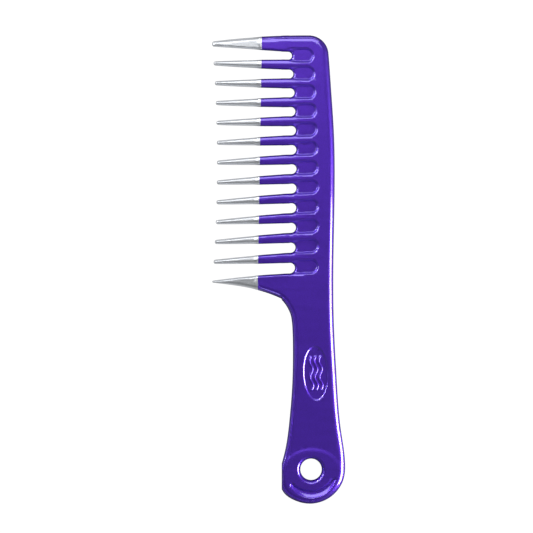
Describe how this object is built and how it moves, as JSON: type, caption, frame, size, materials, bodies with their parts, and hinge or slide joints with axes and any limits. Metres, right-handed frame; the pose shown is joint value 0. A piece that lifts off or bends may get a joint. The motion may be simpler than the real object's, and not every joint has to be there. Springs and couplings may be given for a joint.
{
  "type": "wide tooth comb",
  "caption": "Long flat wide tooth comb with a flared handle, hanging hole, slotted spine and contrasting tooth tips.",
  "frame": {"origin": "centre of the bounding box in plan, on the back face that the comb lies on", "axes": "+Y from the handle to the head, -X from the spine to the tooth tips, +Z out of the front face"},
  "size_m": [0.0654, 0.23, 0.006],
  "materials": {
    "purple_lacquer": "metallic purple lacquer under a clear gloss coat",
    "silver_lacquer": "metallic silver lacquer, glossy"
  },
  "bodies": {
    "root": {"comb_body": "purple_lacquer", "tooth_tip_01": "silver_lacquer", "tooth_tip_02": "silver_lacquer", "tooth_tip_03": "silver_lacquer", "tooth_tip_04": "silver_lacquer", "tooth_tip_05": "silver_lacquer", "tooth_tip_06": "silver_lacquer", "tooth_tip_07": "silver_lacquer", "tooth_tip_08": "silver_lacquer", "tooth_tip_09": "silver_lacquer", "tooth_tip_10": "silver_lacquer", "tooth_tip_11": "silver_lacquer", "tooth_tip_12": "silver_lacquer", "tooth_tip_13": "silver_lacquer"}
  },
  "joints": []
}
